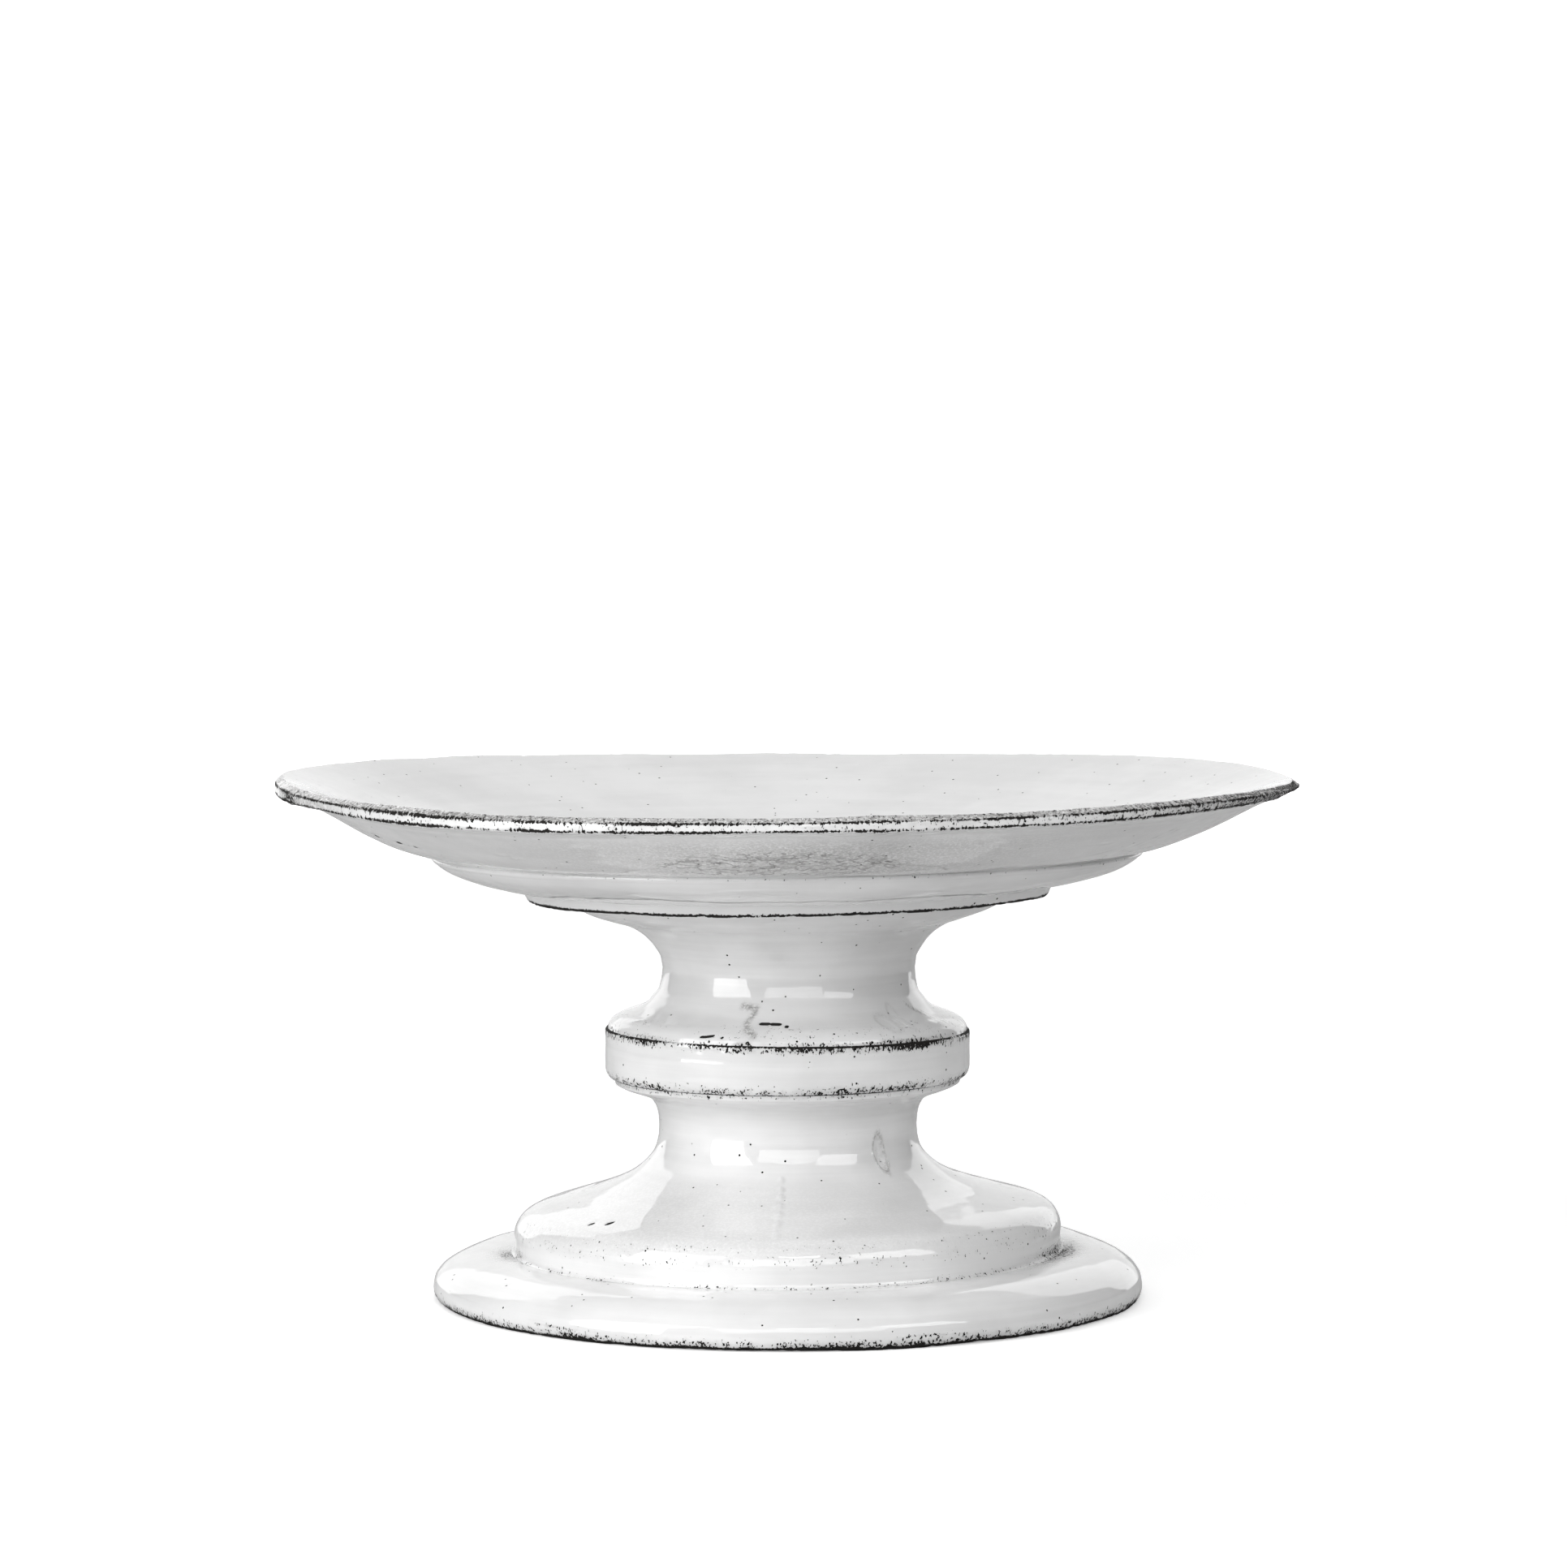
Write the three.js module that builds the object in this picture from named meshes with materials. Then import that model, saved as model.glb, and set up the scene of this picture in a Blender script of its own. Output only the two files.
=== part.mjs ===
// Pedestal cake stand in glazed earthenware. A shallow dished plate with an upright lip stands on
// a hollow waisted stem, which a plain collar divides, and the stem stands on a stepped, flared base.
//
// Each clay piece is turned about the stand's own axis, and the pieces are stuck to each other with
// slip, liquid clay that dries to a thin hard ring, before the stand is glazed and fired.
//
// Millimetres, +Z up. The origin is the centre of the circle that the base stands on.

import * as THREE from 'three';

// ---- Driving dimensions ------------------------------------------------------------------------

const STAND_HEIGHT = 151.5;

const PLATE_RADIUS = 150;
const LIP_HEIGHT = 4.5; // from the brim's underside to the lip's inner edge
const LIP_BEVEL = 1.8; // how far the lip's top slopes down to its outer edge
const PLATE_FLOOR_Z = 130;
const PLATE_FLOOR_RADIUS = 62; // flat middle of the dish
const TIER_RADIUS = 105; // the step half way out along the plate's underside
const TIER_Z = 131.1;
const BRIM_RADIUS = 137.4; // where the underside levels off towards the lip
const BRIM_Z = 144;

const RING_RADIUS = 78.2; // foot ring under the plate
const RING_HOLE_RADIUS = 66;
const RING_BOTTOM_Z = 118;

const UPPER_WAIST_RADIUS = 37.2;
const UPPER_WAIST_Z = 95.3;
const FLARE_Z = 100.6; // soft ridge where the stem's flare begins
const UPPER_HEAD_RADIUS = 65.4; // the flare's flat head, which sits inside the foot ring
const UPPER_HEAD_HOLE_RADIUS = 47;

const COLLAR_RADIUS = 53.8;
const COLLAR_TOP_RADIUS = 53.3; // after its worn upper edge
const COLLAR_FOOT_RADIUS = 51.4; // after its rounded lower edge
const COLLAR_HOLE_RADIUS = 41;

const LOWER_WAIST_RADIUS = 38;
const LOWER_WAIST_Z = 48.7;
const SHOULDER_RADIUS = 80.6; // upright band at the foot of the bell
const SHOULDER_BAND_TOP_Z = 19.8;
const BELL_MOUTH_RADIUS = 72.8;

const BASE_RADIUS = 105;
const BASE_HOLE_RADIUS = 70;
const FOOT_OUTER_RADIUS = 102; // flat ring that meets the table
const FOOT_INNER_RADIUS = 90;

const WALL = 7.8; // clay wall of the hollow stems

// Heights of the slip joints' middle planes, from the table up.
const BASE_JOINT_Z = 13.9;
const COLLAR_LOWER_JOINT_Z = 64.7;
const COLLAR_UPPER_JOINT_Z = 79.1;
const PLATE_JOINT_Z = 121.3;

const SLIP_THICKNESS = 1;
const CLEARANCE = 0.3; // between a slip ring and the clay on each side of it
const SLIP_SETBACK = 1; // how far slip stops short of the clay's edges

const FACETS = 48; // round each turned piece
const CURVE_STEPS = 5; // along each curved stretch of an outline

// ---- Materials ---------------------------------------------------------------------------------

function whiteGlaze() {
  return new THREE.MeshStandardMaterial({ color: 0xe4e6e4, roughness: 0.14, metalness: 0 });
}

function driedSlip() {
  return new THREE.MeshStandardMaterial({ color: 0x2b2624, roughness: 0.9, metalness: 0 });
}

// ---- Turning -----------------------------------------------------------------------------------

// Clay faces on the lower and upper side of a joint, which leave room for the slip between them.
function underJoint(jointZ) {
  return jointZ - SLIP_THICKNESS / 2 - CLEARANCE;
}

function overJoint(jointZ) {
  return jointZ + SLIP_THICKNESS / 2 + CLEARANCE;
}

// A turned piece from its half section, which runs anticlockwise with the axis on its left: up the
// outside and down the inside. A stretch of two numbers is a straight line to (radius, z), and one
// of six is a cubic curve. A section that starts away from the axis is closed back to its start.
function turned(name, material, start, ...stretches) {
  const section = new THREE.Path();
  section.moveTo(...start);
  for (const stretch of stretches) {
    if (stretch.length === 2) {
      section.lineTo(...stretch);
    } else {
      section.bezierCurveTo(...stretch);
    }
  }
  const isRing = start[0] > 0;
  if (isRing) {
    section.closePath();
  }
  const piece = new THREE.Mesh(new THREE.LatheGeometry(section.getPoints(CURVE_STEPS), FACETS), material);
  piece.name = name;
  piece.rotation.x = Math.PI / 2; // the lathe turns about Y, and the stand's axis is Z
  return piece;
}

// ---- Clay pieces, from the table up ------------------------------------------------------------

// Low convex ring, open underneath, that stands on a flat ring near its edge.
function baseFlange() {
  const seatZ = underJoint(BASE_JOINT_Z);
  return turned(
    'base_flange',
    whiteGlaze(),
    [FOOT_INNER_RADIUS, 0],
    [FOOT_OUTER_RADIUS, 0],
    [BASE_RADIUS, 0.2, BASE_RADIUS + 0.3, 3.2, BASE_RADIUS - 0.8, 6.5],
    [BASE_RADIUS - 4, 11, BASE_RADIUS - 11, seatZ + 0.4, SHOULDER_RADIUS + 0.4, seatZ],
    [BASE_HOLE_RADIUS, seatZ],
    [BASE_HOLE_RADIUS, 6.5],
    [BASE_HOLE_RADIUS + 8, 5.8, FOOT_INNER_RADIUS - 5, 5, FOOT_INNER_RADIUS, 0],
  );
}

// Hollow bell: an upright band, a rounded shoulder, and a dome that sweeps up into the waist.
function lowerStem() {
  const bottomZ = overJoint(BASE_JOINT_Z);
  const topZ = underJoint(COLLAR_LOWER_JOINT_Z);
  const boreRadius = LOWER_WAIST_RADIUS - WALL;
  return turned(
    'lower_stem',
    whiteGlaze(),
    [BELL_MOUTH_RADIUS, bottomZ],
    [SHOULDER_RADIUS, bottomZ],
    [SHOULDER_RADIUS, SHOULDER_BAND_TOP_Z],
    [SHOULDER_RADIUS - 0.1, 22.8, SHOULDER_RADIUS - 2, 25.6, SHOULDER_RADIUS - 6, 27],
    [60, 32, LOWER_WAIST_RADIUS + 0.4, 34.4, LOWER_WAIST_RADIUS, LOWER_WAIST_Z],
    [LOWER_WAIST_RADIUS - 0.5, 53.5, LOWER_WAIST_RADIUS + 0.6, 57.2, LOWER_WAIST_RADIUS + 2.4, 58.8],
    [LOWER_WAIST_RADIUS + 5.2, 61, 47.5, 61.2, COLLAR_FOOT_RADIUS - 0.6, 63.2],
    [COLLAR_FOOT_RADIUS, topZ],
    [COLLAR_HOLE_RADIUS, topZ],
    [34, 60.6, boreRadius, 56.6, boreRadius, LOWER_WAIST_Z],
    [boreRadius + 0.4, 26, 60, 24, BELL_MOUTH_RADIUS, 17],
  );
}

// Plain ring with a worn upper edge and a softer lower one.
function collar() {
  const bottomZ = overJoint(COLLAR_LOWER_JOINT_Z);
  const topZ = underJoint(COLLAR_UPPER_JOINT_Z);
  return turned(
    'collar',
    whiteGlaze(),
    [COLLAR_HOLE_RADIUS, bottomZ],
    [COLLAR_FOOT_RADIUS, bottomZ],
    [COLLAR_RADIUS - 1, bottomZ + 0.6, COLLAR_RADIUS, bottomZ + 1.4, COLLAR_RADIUS, bottomZ + 3],
    [COLLAR_RADIUS, topZ - 1],
    [COLLAR_TOP_RADIUS, topZ],
    [COLLAR_HOLE_RADIUS, topZ],
  );
}

// Hollow trumpet that narrows above the collar and flares out to a flat head under the plate.
function upperStem() {
  const bottomZ = overJoint(COLLAR_UPPER_JOINT_Z);
  const topZ = underJoint(PLATE_JOINT_Z);
  const boreRadius = UPPER_WAIST_RADIUS - WALL;
  return turned(
    'upper_stem',
    whiteGlaze(),
    [COLLAR_HOLE_RADIUS, bottomZ],
    [COLLAR_TOP_RADIUS - 0.6, bottomZ],
    [COLLAR_TOP_RADIUS - 0.6, 81.8, 50.6, 83, 47.7, 83.8],
    [44.6, 84.9, 41.8, 85.8, 40.3, 88.2],
    [39.2, 90, UPPER_WAIST_RADIUS, 92.5, UPPER_WAIST_RADIUS, UPPER_WAIST_Z],
    [UPPER_WAIST_RADIUS + 0.6, FLARE_Z],
    [UPPER_WAIST_RADIUS + 2.6, 104.5, 43.5, 109.6, 50.5, 111.2],
    [56, 112.8, 62, 114.4, UPPER_HEAD_RADIUS - 0.6, RING_BOTTOM_Z],
    [UPPER_HEAD_RADIUS, RING_BOTTOM_Z + 0.4],
    [UPPER_HEAD_RADIUS, topZ],
    [UPPER_HEAD_HOLE_RADIUS, topZ],
    [34, 118.6, boreRadius - 0.3, 106.6, boreRadius, UPPER_WAIST_Z],
    [boreRadius + 0.5, 86.6, 34, 82.8, COLLAR_HOLE_RADIUS, bottomZ],
  );
}

// Low ring round the stem's head, stuck to the plate's underside.
function plateFootRing() {
  return turned(
    'plate_foot_ring',
    whiteGlaze(),
    [RING_HOLE_RADIUS, RING_BOTTOM_Z],
    [RING_RADIUS - 1.6, RING_BOTTOM_Z],
    [RING_RADIUS - 1, RING_BOTTOM_Z + 0.6],
    [RING_RADIUS, underJoint(PLATE_JOINT_Z)],
    [RING_HOLE_RADIUS, underJoint(PLATE_JOINT_Z)],
  );
}

// Shallow dish. Its underside climbs in two tiers, levels off as a brim and ends in an upright lip.
function plate() {
  const seatZ = overJoint(PLATE_JOINT_Z);
  const lipBottomZ = STAND_HEIGHT - LIP_HEIGHT;
  const lipEdgeZ = STAND_HEIGHT - LIP_BEVEL;
  return turned(
    'plate',
    whiteGlaze(),
    [0, seatZ],
    [RING_RADIUS + 1, seatZ],
    [90, 123.6, 100.4, 126, TIER_RADIUS - 0.4, TIER_Z],
    [TIER_RADIUS + 1.3, TIER_Z + 0.3],
    [115.5, 133.2, 130.6, 140.8, BRIM_RADIUS, BRIM_Z],
    [141, 146.1, 146, lipBottomZ, PLATE_RADIUS - 1, lipBottomZ],
    [PLATE_RADIUS, lipBottomZ + 0.6],
    [PLATE_RADIUS, lipEdgeZ],
    [PLATE_RADIUS - 3, STAND_HEIGHT],
    [PLATE_RADIUS - 5, STAND_HEIGHT - 0.3],
    [138, 149.4, 120, 143.4, TIER_RADIUS - 1, TIER_Z + 7],
    [90, 133, 78, PLATE_FLOOR_Z, PLATE_FLOOR_RADIUS, PLATE_FLOOR_Z],
    [0, PLATE_FLOOR_Z],
  );
}

// ---- Slip joints -------------------------------------------------------------------------------

// Thin ring of dried slip between two clay faces, from one radius to another at a joint's height.
// Its two rims bulge a little, as slip does when the pieces are pressed together.
function slipRing(name, jointZ, clayInnerRadius, clayOuterRadius) {
  const innerRadius = clayInnerRadius + SLIP_SETBACK;
  const outerRadius = clayOuterRadius - SLIP_SETBACK;
  const bottomZ = jointZ - SLIP_THICKNESS / 2;
  const topZ = jointZ + SLIP_THICKNESS / 2;
  const bulge = SLIP_THICKNESS / 2;
  return turned(
    name,
    driedSlip(),
    [innerRadius, bottomZ],
    [outerRadius, bottomZ],
    [outerRadius + bulge, jointZ],
    [outerRadius, topZ],
    [innerRadius, topZ],
    [innerRadius - bulge, jointZ],
  );
}

function slipJoints() {
  return [
    slipRing('slip_joint_base_to_lower_stem', BASE_JOINT_Z, BELL_MOUTH_RADIUS, SHOULDER_RADIUS),
    slipRing('slip_joint_lower_stem_to_collar', COLLAR_LOWER_JOINT_Z, COLLAR_HOLE_RADIUS, COLLAR_FOOT_RADIUS),
    slipRing('slip_joint_collar_to_upper_stem', COLLAR_UPPER_JOINT_Z, COLLAR_HOLE_RADIUS, COLLAR_TOP_RADIUS),
    slipRing('slip_joint_upper_stem_to_plate', PLATE_JOINT_Z, UPPER_HEAD_HOLE_RADIUS, UPPER_HEAD_RADIUS),
    slipRing('slip_joint_foot_ring_to_plate', PLATE_JOINT_Z, RING_HOLE_RADIUS, RING_RADIUS),
  ];
}

// ---- The stand ---------------------------------------------------------------------------------

const cakeStand = new THREE.Group();
cakeStand.add(baseFlange(), lowerStem(), collar(), upperStem(), plateFootRing(), plate());
cakeStand.add(...slipJoints());

export default cakeStand;
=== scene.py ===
"""The looks of a pedestal cake stand in hand-built earthenware: dark clay under a milky gloss glaze,
which has run thin and worn through along the edges. Outlines, marks and the room are in millimetres,
and turn into metres as each mesh is made. Azimuths are in degrees from the front, -Y, towards +X."""

import math
from dataclasses import dataclass

import bpy
import numpy as np
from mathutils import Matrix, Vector


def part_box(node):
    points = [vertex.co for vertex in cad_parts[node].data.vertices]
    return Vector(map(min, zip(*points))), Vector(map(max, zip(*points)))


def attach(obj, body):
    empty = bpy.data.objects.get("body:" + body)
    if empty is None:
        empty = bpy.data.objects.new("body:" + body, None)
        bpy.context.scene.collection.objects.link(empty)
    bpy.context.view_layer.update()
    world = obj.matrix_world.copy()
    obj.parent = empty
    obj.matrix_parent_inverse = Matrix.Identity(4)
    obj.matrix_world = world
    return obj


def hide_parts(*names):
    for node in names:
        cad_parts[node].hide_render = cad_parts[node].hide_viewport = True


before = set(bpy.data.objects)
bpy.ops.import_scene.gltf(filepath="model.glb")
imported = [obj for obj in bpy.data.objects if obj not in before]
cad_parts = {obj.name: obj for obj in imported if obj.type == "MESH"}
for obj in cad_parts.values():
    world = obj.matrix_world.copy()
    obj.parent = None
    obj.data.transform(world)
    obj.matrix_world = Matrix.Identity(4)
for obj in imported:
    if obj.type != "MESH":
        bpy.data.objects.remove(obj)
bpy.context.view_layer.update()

MM = 0.001

# ---- Sizes from the frame ------------------------------------------------------------------------


def reach(node):
    """A CAD node's outer radius and its lowest and highest z."""
    low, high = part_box(node)
    return high.x / MM, low.z / MM, high.z / MM


def crease(lower_node, upper_node):
    """The height where two clay pieces meet: half way across the gap that their slip fills."""
    return (reach(lower_node)[2] + reach(upper_node)[1]) / 2


BASE_R, _, BASE_SEAT_Z = reach("base_flange")
SHOULDER_R, BELL_SEAT_Z, BELL_TOP_Z = reach("lower_stem")
COLLAR_R, COLLAR_SEAT_Z, COLLAR_TOP_Z = reach("collar")
HEAD_R, TRUMPET_SEAT_Z, TRUMPET_TOP_Z = reach("upper_stem")
RING_R, RING_BOTTOM_Z, RING_TOP_Z = reach("plate_foot_ring")
PLATE_R, PLATE_SEAT_Z, RIM_Z = reach("plate")

BASE_CREASE_Z = crease("base_flange", "lower_stem")
COLLAR_FOOT_Z = crease("lower_stem", "collar")
COLLAR_EDGE_Z = crease("collar", "upper_stem")
RING_CREASE_Z = crease("plate_foot_ring", "plate")

LOWER_WAIST_R, LOWER_WAIST_Z = 38.0, 48.7
UPPER_WAIST_R, UPPER_WAIST_Z = 37.2, 97.2
FLARE_Z = 100.6
COLLAR_FOOT_R = COLLAR_R - 2.4
COLLAR_EDGE_R = COLLAR_R - 0.5
STEM_HOLE_R = 41.0
BORE_R = 29.6
BASE_HOLE_R = 70.0
BELL_MOUTH_R = SHOULDER_R - 7.8
FOOT_INNER_R = 90.0
RING_HOLE_R = 66.0
HEAD_HOLE_R = 47.0
TIER_R, TIER_Z = 104.6, 131.1
BRIM_R, BRIM_Z = 137.4, 144.0
FLOOR_R, FLOOR_Z = 62.0, 130.0

# ---- Outlines ------------------------------------------------------------------------------------

FINE = 0.42  # step along an edge that shows wear
MIDDLE = 0.85  # step along other glazed surfaces
COARSE = 2.4  # step inside the stand


def line(r, z, step=MIDDLE, hidden=False):
    """A straight stretch of an outline. A hidden one lies between two pieces or inside a joint."""
    return ((r, z),), step, hidden


def curve(r1, z1, r2, z2, r, z, step=MIDDLE, hidden=False):
    """A cubic stretch of an outline, by its two control points and its end."""
    return ((r1, z1), (r2, z2), (r, z)), step, hidden


def outline(start, *stretches):
    """Points (r, z) along a half section, anticlockwise with the axis on its left, and whether each
    is hidden. The last stretch of a ring ends at its start, which isn't repeated."""
    points, hidden = [np.array(start, float)], [stretches[-1][2]]
    for controls, step, is_hidden in stretches:
        corners = np.array([points[-1], *controls], float)
        length = np.linalg.norm(np.diff(corners, axis=0), axis=1).sum()
        count = max(1, math.ceil(length / step))
        for t in np.arange(1, count + 1) / count:
            if len(corners) == 2:
                point = corners[0] * (1 - t) + corners[1] * t
            else:
                weights = np.array([(1 - t) ** 3, 3 * (1 - t) ** 2 * t, 3 * (1 - t) * t * t, t**3])
                point = weights @ corners
            points.append(point)
            hidden.append(is_hidden)
    if np.allclose(points[0], points[-1]):
        points.pop()
        hidden.pop()
    return np.array(points), np.array(hidden)


# ---- How the clay has moved ----------------------------------------------------------------------

# The stand has sagged and leaned a little on its way through the kiln. Each row is a height, how far
# the clay there tilts up towards +X in degrees, and how far it has shifted towards +X.
LEAN = np.array(
    [
        (0, 0.0, 0.0),
        (6, 0.15, 0.0),
        (14, 0.55, 0.0),
        (26, 1.0, 0.0),
        (49, 0.3, 0.0),
        (65, 0.3, 0.0),
        (79, -0.3, 0.0),
        (95, 0.0, 0.4),
        (118, 0.8, 0.0),
        (131, 0.55, 0.0),
        (150, 0.4, 0.0),
    ]
)
# How the stand is out of round: waves round it, their height as a share of its radius, and phase.
OVAL_WAVES = ((2, 0.0012, 1.1), (3, 0.00072, 0.4))
RIM_STARTS = 0.77 * PLATE_R  # the plate is bent outside this radius
# How far the rim has risen, in millimetres, at azimuths round it.
RIM_RISE = np.array(
    [
        (-180, 0.2),
        (-160, 1.3),
        (-130, 2.9),
        (-105, 4.1),
        (-85, 3.5),
        (-62, 1.4),
        (-42, -0.7),
        (-22, -1.1),
        (0, -0.7),
        (30, -0.5),
        (56, 0.9),
        (90, 0.8),
        (128, 2.1),
        (155, 0.7),
    ]
)
RIM_SHIFTS = (-10, -5, 0, 5, 10)  # azimuths over which RIM_RISE is averaged


def azimuth(x, y):
    """Angle round the axis from the front, -Y, towards +X, in radians."""
    return np.arctan2(x, -y)


def ease(value, low, high):
    """0 below low, 1 above high, and a smooth ramp between."""
    t = np.clip((value - low) / (high - low), 0, 1)
    return t * t * (3 - 2 * t)


def ripples(points, length, seed, waves=16):
    """Smooth noise, mostly from -1 to 1, whose bumps are about length apart."""
    rng = np.random.default_rng(seed)
    directions = rng.normal(size=(waves, 3))
    directions /= np.linalg.norm(directions, axis=1)[:, None]
    turns = 2 * math.pi / (length * rng.uniform(0.7, 1.4, waves))
    phases = rng.uniform(0, 2 * math.pi, waves)
    return np.sin(points @ (directions * turns[:, None]).T + phases).sum(1) / math.sqrt(2 * waves)


def rim_rise(turn):
    """RIM_RISE at each azimuth, rounded off between its rows."""
    rises = [np.interp(np.degrees(turn) + shift, *RIM_RISE.T, period=360) for shift in RIM_SHIFTS]
    return sum(rises) / len(rises)


def settle(points):
    """Where the whole stand's warp takes each point. Pieces that meet stay together."""
    x, y, z = points.T
    turn = azimuth(x, y)
    oval = 1 + sum(height * np.cos(waves * turn + phase) for waves, height, phase in OVAL_WAVES)
    tilt = np.radians(np.interp(z, LEAN[:, 0], LEAN[:, 1]))
    shift = np.interp(z, LEAN[:, 0], LEAN[:, 2])
    rim = ease(np.hypot(x, y), RIM_STARTS, PLATE_R) * (z > RING_CREASE_Z)
    lifted = np.maximum(z + x * np.tan(tilt) + rim * rim_rise(turn), 0)
    return np.column_stack([x * oval + shift, y * oval, lifted])


# ---- Turning a piece -----------------------------------------------------------------------------


def outline_normals(points, closed):
    """The unit normal at each outline point, away from the clay."""
    if closed:
        along = np.roll(points, -1, 0) - np.roll(points, 1, 0)
    else:
        along = np.gradient(points, axis=0)
    along /= np.maximum(np.linalg.norm(along, axis=1), 1e-6)[:, None]
    return np.column_stack([along[:, 1], -along[:, 0]])


JOINT_REACH = 2.5  # how far from a joint the hand-made bumps fade out


def free_share(points, hidden):
    """0 on hidden stretches, and up to 1 on clay further than JOINT_REACH from one."""
    if not hidden.any():
        return np.ones(len(points))
    gaps = np.linalg.norm(points[:, None] - points[hidden][None], axis=2).min(1)
    return np.clip(gaps / JOINT_REACH, 0, 1)


def wear_along(points, edges):
    """How close each outline point is to a worn edge. An edge is (r, z, half width, strength)."""
    wear = np.zeros(len(points))
    for r, z, half_width, strength in edges:
        gap = np.linalg.norm(points - (r, z), axis=1)
        wear = np.maximum(wear, strength * np.exp(-((gap / half_width) ** 2)))
    return wear


def around(turn, centre, half_width):
    """1 at an azimuth in degrees, falling to 0 a few half widths away. turn is in radians."""
    gap = (np.degrees(turn) - centre + 180) % 360 - 180
    return np.exp(-((gap / half_width) ** 2))


def grid_mesh(name, vertices, rows, columns, closed):
    """A mesh of rows of the outline by columns round the axis. An open outline leaves a small hole
    round the axis at each end, which cap_axis closes."""
    row, column = np.meshgrid(np.arange(rows), np.arange(columns), indexing="ij")
    across = (column + 1) % columns
    above = (row + 1) % rows
    quads = np.stack(
        [row * columns + column, row * columns + across, above * columns + across, above * columns + column],
        axis=-1,
    )
    if closed:
        faces = quads.reshape(-1, 4).tolist()
    else:
        faces = quads[: rows - 1].reshape(-1, 4).tolist()
    mesh = bpy.data.meshes.new(name)
    mesh.from_pydata((vertices * MM).tolist(), [], faces)
    mesh.validate()
    piece = bpy.data.objects.new(name, mesh)
    bpy.context.scene.collection.objects.link(piece)
    return piece


def cap_axis(piece, rows, columns, first_z, last_z):
    """Closes the small holes that an open outline leaves at the axis with one fan each."""
    mesh = piece.data
    vertices = [v.co[:] for v in mesh.vertices]
    faces = [tuple(f.vertices) for f in mesh.polygons]
    marks = read_marks(mesh)
    first, last = len(vertices), len(vertices) + 1
    vertices += [(0, 0, first_z * MM), (0, 0, last_z * MM)]
    top = (rows - 1) * columns
    for column in range(columns):
        across = (column + 1) % columns
        faces.append((first, across, column))
        faces.append((last, top + column, top + across))
    mesh.clear_geometry()
    mesh.from_pydata(vertices, [], faces)
    for name, value in marks.items():
        write_mark(mesh, name, np.append(value, [0, 0]))


def read_marks(mesh):
    """Every per-vertex number that the mesh holds for its materials."""
    marks = {}
    for attribute in mesh.attributes:
        if attribute.data_type == "FLOAT" and attribute.domain == "POINT":
            value = np.zeros(len(mesh.vertices), np.float32)
            attribute.data.foreach_get("value", value)
            marks[attribute.name] = value
    return marks


def write_mark(mesh, name, value):
    """Stores one number per vertex for the materials to read."""
    attribute = mesh.attributes.get(name) or mesh.attributes.new(name, "FLOAT", "POINT")
    attribute.data.foreach_set("value", np.asarray(value, np.float32))


LUMPS = ((52, 0.24, 11), (19, 0.07, 12), (8, 0.02, 13))  # spacing, height and seed of each size
WHEEL_RIDGES = ((6.3, 0.03, 22), (2.7, 0.011, 25))  # pitch, height and seed of the fingers' ridges
RIDGE_WANDER = 1.5  # how far the ridges stray from level, in radians
RIDGE_WANDER_SPACING = 60
NICK_SPACING, NICK_DEPTH, NICK_SEED = 3.4, 0.35, 23
# Patches of more and of less wear along an edge: their spacing, their mean and swing, and seed.
WEAR_SPACING, WEAR_MEAN, WEAR_SWING, WEAR_SEED = 24, 0.85, 0.3, 21
CRUMB_SPACING, CRUMB_HEIGHT, CRUMB_SEED = 2.2, 0.3, 24
SLIT_HALF_HEIGHT, SLIT_DEPTH = 0.6, 0.35
SLIT_END = (-0.3, 0.6)  # a slit opens between these distances in from its end
DENT_RIM, DENT_RIM_WIDTH, DENT_RIM_RISE = 1.1, 0.2, 0.4  # shares of the dent's radius and depth
DENT_STAIN_LIMIT = 0.8
# The stain mark holds real stains, and painted shade and painted reflection on the dome.
MARKS = ("worn", "slit", "stain_and_shade", "bare", "wiped", "crust")
SHARP_FROM = 60  # edges that turn further than this, in degrees, stay sharp
# How many columns of faces go round each kind of piece.
BASE_COLUMNS, STEM_COLUMNS, PLATE_COLUMNS, SLIP_COLUMNS = 512, 448, 416, 256


@dataclass
class Clay:
    """The points of a piece: where they are, which way they face, and how strong each mark is
    there. A strength of 1 is a full mark, and more only makes its patch wider."""

    turn: np.ndarray
    r: np.ndarray
    z: np.ndarray
    out: np.ndarray
    up: np.ndarray
    marks: dict

    @property
    def place(self):
        return np.column_stack([self.r * np.sin(self.turn), -self.r * np.cos(self.turn), self.z])

    def near(self, centre, half_width):
        """1 at an azimuth in degrees, falling to 0 a few half widths away."""
        return around(self.turn, centre, half_width)

    def spots(self, spots):
        """Spots round the piece, each (azimuth, half width, strength), added up."""
        return sum(strength * self.near(centre, half_width) for centre, half_width, strength in spots)

    def side(self, centre):
        """How far each point is round the wall from an azimuth in degrees, in millimetres."""
        return np.radians((np.degrees(self.turn) - centre + 180) % 360 - 180) * self.r

    def add(self, mark, strength):
        self.marks[mark] = np.maximum(self.marks[mark], strength)


def add_dents(clay, dents):
    """Presses dents into the outside, or raises them where their depth is negative. Each has a
    rounded rim. Returns the height they add."""
    height = np.zeros(len(clay.r))
    for centre, mark_z, width, tall, depth in dents:
        far = np.hypot(clay.side(centre) / (width / 2), (clay.z - mark_z) / (tall / 2))
        rim = np.exp(-(((far - DENT_RIM) / DENT_RIM_WIDTH) ** 2)) * (clay.out > 0)
        height += depth * (DENT_RIM_RISE * rim - np.exp(-(far**4)) * (clay.out > 0))
        clay.add("stain_and_shade", rim * min(max(depth, 0), DENT_STAIN_LIMIT))
    return height


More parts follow.
